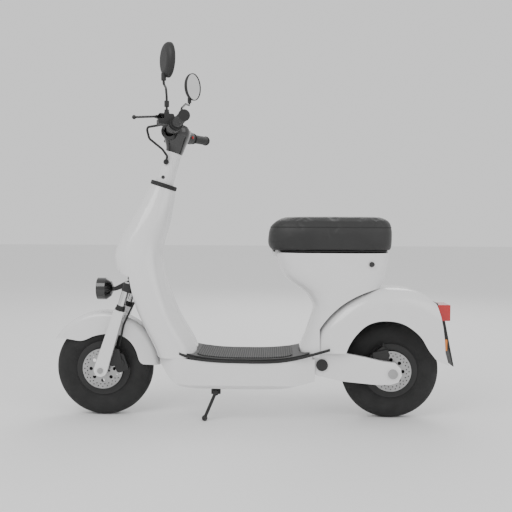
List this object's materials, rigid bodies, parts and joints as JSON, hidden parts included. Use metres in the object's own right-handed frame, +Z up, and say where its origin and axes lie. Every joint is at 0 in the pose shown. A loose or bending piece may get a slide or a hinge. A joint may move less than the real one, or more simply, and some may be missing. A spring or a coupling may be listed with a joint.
{
  "type": "moped scooter",
  "caption": "Small electric moped scooter with round headlight, flat footboard, padded saddle over a storage bin, front fork, side stand and handlebar controls.",
  "frame": {"origin": "on the ground under the middle of the overall box", "axes": "+X to the rear along the scooter, +Y to the rider's right, +Z up"},
  "size_m": [1.462, 0.7456, 1.3317],
  "materials": {
    "white_shell": "glossy painted plastic",
    "black_plastic": "fine grained",
    "gloss_black": "glossy",
    "grey_plastic": "fine grained",
    "red_plastic": "glossy",
    "white_metal": "glossy white paint",
    "black_metal": "satin black paint",
    "steel": "brushed",
    "chrome": "polished",
    "spring_steel": "satin paint",
    "rubber": "matte rubber",
    "tyre": "matte, light wear",
    "leather": "grained artificial leather over foam",
    "glass": "clear",
    "mirror": "silvered",
    "red_lens": "clear red plastic"
  },
  "bodies": {
    "frame": {"frame_tubes": "black_metal", "leg_shield": "white_shell", "knee_panel": "white_shell", "steering_gasket": "rubber", "floorboard": "black_plastic", "floor_mat": "rubber", "deck_trim": "black_plastic", "belly_pan": "white_shell", "battery_pack": "grey_plastic", "seat_tower": "white_shell", "storage_bin": "black_plastic", "rear_fender": "white_shell", "head_bearings": "steel", "tail_bracket": "black_plastic", "rear_lenses": "red_lens", "bolts_and_pins": "steel"},
    "steering": {"steering_stem": "black_metal", "fork_stanchions": "chrome", "column_cover": "white_shell", "handlebar_cover": "gloss_black", "display": "gloss_black", "handlebar": "black_metal", "left_grip": "rubber", "bar_controls": "black_plastic", "brake_hoses": "rubber", "mirror_stems": "black_metal"},
    "ignition_switch": {"ignition_switch": "steel"},
    "throttle": {"throttle_grip": "rubber"},
    "left_lever": {"left_brake_lever": "black_metal"},
    "right_lever": {"right_brake_lever": "black_metal"},
    "horn_button": {"horn_button": "red_plastic"},
    "indicator_switch": {"indicator_switch": "grey_plastic"},
    "start_button": {"start_button": "red_plastic"},
    "left_mirror": {"left_mirror_shell": "black_plastic", "left_mirror_glass": "mirror"},
    "right_mirror": {"right_mirror_shell": "black_plastic", "right_mirror_glass": "mirror"},
    "headlight": {"headlight_shell": "gloss_black", "headlight_lens": "glass"},
    "fork": {"fork_legs": "white_metal", "dust_caps": "rubber", "front_axle": "steel", "front_caliper": "black_metal", "front_fender": "white_shell"},
    "front_wheel": {"front_rim": "black_metal", "front_tyre": "tyre", "front_brake_disc": "steel"},
    "swing_arm": {"swing_arm": "white_metal", "rear_axle": "steel", "rear_caliper": "black_metal"},
    "rear_wheel": {"rear_rim": "black_metal", "rear_tyre": "tyre", "rear_brake_disc": "steel"},
    "shock_body": {"shock_body": "black_metal"},
    "shock_rod": {"shock_rod": "chrome", "shock_spring": "spring_steel"},
    "side_stand": {"side_stand": "black_metal"},
    "seat": {"saddle": "leather", "seat_pan": "black_plastic"},
    "seat_lock": {"seat_lock": "steel"}
  },
  "joints": [
    {"name": "steering_turn", "type": "hinge", "parent": "frame", "child": "steering", "pos_m": [-0.54575, 0, 0.1775], "axis": [0.3007, 0, 0.9537], "range_deg": [-38, 38]},
    {"name": "fork_travel", "type": "slide", "parent": "steering", "child": "fork", "axis": [0.3007, 0, 0.9537], "range_m": [0, 0.028], "stiffness_N_per_m": 9000, "springref_m": -0.04},
    {"name": "front_wheel_spin", "type": "hinge", "parent": "fork", "child": "front_wheel", "pos_m": [-0.55175, 0, 0.1775], "axis": [0, 1, 0], "continuous": true},
    {"name": "swing_arm_turn", "type": "hinge", "parent": "frame", "child": "swing_arm", "pos_m": [0.24825, 0, 0.208], "axis": [0, -1, 0], "range_deg": [0, 6], "stiffness_Nm_per_rad": 500, "springref_deg": -20.05},
    {"name": "rear_wheel_spin", "type": "hinge", "parent": "swing_arm", "child": "rear_wheel", "pos_m": [0.50125, 0, 0.1775], "axis": [0, 1, 0], "continuous": true},
    {"name": "shock_tilt", "type": "hinge", "parent": "frame", "child": "shock_body", "pos_m": [0.36325, 0.086, 0.412], "axis": [0, -1, 0], "range_deg": [-3, 0]},
    {"name": "shock_stroke", "type": "slide", "parent": "shock_body", "child": "shock_rod", "axis": [0.0808, 0, 0.9967], "range_m": [0, 0.00977], "deforming": ["shock_spring"]},
    {"name": "stand_turn", "type": "hinge", "parent": "frame", "child": "side_stand", "pos_m": [-0.13375, -0.06, 0.101], "axis": [0, -1, 0], "range_deg": [0, 95]},
    {"name": "seat_open", "type": "hinge", "parent": "frame", "child": "seat", "pos_m": [0.07525, 0, 0.613], "axis": [0, -1, 0], "range_deg": [0, 70]},
    {"name": "seat_lock_turn", "type": "hinge", "parent": "frame", "child": "seat_lock", "pos_m": [0.42125, -0.094, 0.569], "axis": [0, 1, 0], "range_deg": [0, 90]},
    {"name": "throttle_turn", "type": "hinge", "parent": "steering", "child": "throttle", "pos_m": [-0.25506, 0.21204, 1.04891], "axis": [0.318, 0.9469, 0.0465], "range_deg": [0, 70], "stiffness_Nm_per_rad": 0.2, "springref_deg": -11.46},
    {"name": "left_brake", "type": "hinge", "parent": "steering", "child": "left_lever", "pos_m": [-0.31748, -0.17063, 1.07191], "axis": [-0.0148, 0.044, 0.9989], "range_deg": [0, 16], "stiffness_Nm_per_rad": 1, "springref_deg": -5.73},
    {"name": "right_brake", "type": "hinge", "parent": "steering", "child": "right_lever", "pos_m": [-0.31748, 0.17063, 1.07191], "axis": [0.0148, 0.044, -0.9989], "range_deg": [0, 16], "stiffness_Nm_per_rad": 1, "springref_deg": -5.73},
    {"name": "horn_press", "type": "slide", "parent": "steering", "child": "horn_button", "axis": [-0.9481, -0.3176, 0.0156], "range_m": [0, 0.002], "stiffness_N_per_m": 300},
    {"name": "start_press", "type": "slide", "parent": "steering", "child": "start_button", "axis": [-0.9481, 0.3176, 0.0156], "range_m": [0, 0.002], "stiffness_N_per_m": 300},
    {"name": "indicator_press", "type": "slide", "parent": "steering", "child": "indicator_switch", "axis": [-0.9481, -0.3176, 0.0156], "range_m": [0, 0.002], "stiffness_N_per_m": 300},
    {"name": "ignition_turn", "type": "hinge", "parent": "steering", "child": "ignition_switch", "pos_m": [-0.33075, 0, 0.87933], "axis": [0, -1, 0], "range_deg": [0, 90]},
    {"name": "left_mirror_turn", "type": "hinge", "parent": "steering", "child": "left_mirror", "pos_m": [-0.27975, -0.33, 1.164], "axis": [0, 0, 1], "range_deg": [-15, 15]},
    {"name": "right_mirror_turn", "type": "hinge", "parent": "steering", "child": "right_mirror", "pos_m": [-0.27975, 0.33, 1.209], "axis": [0, 0, 1], "range_deg": [-15, 15]},
    {"name": "headlight_tilt", "type": "hinge", "parent": "steering", "child": "headlight", "pos_m": [-0.51375, 0, 0.468], "axis": [0, 1, 0], "range_deg": [-8, 8]}
  ],
  "couplings": [
    {"joint": "shock_tilt", "follows": "swing_arm_turn", "ratio": -0.49859},
    {"joint": "shock_stroke", "follows": "swing_arm_turn", "m_per_rad": 0.092797}
  ]
}
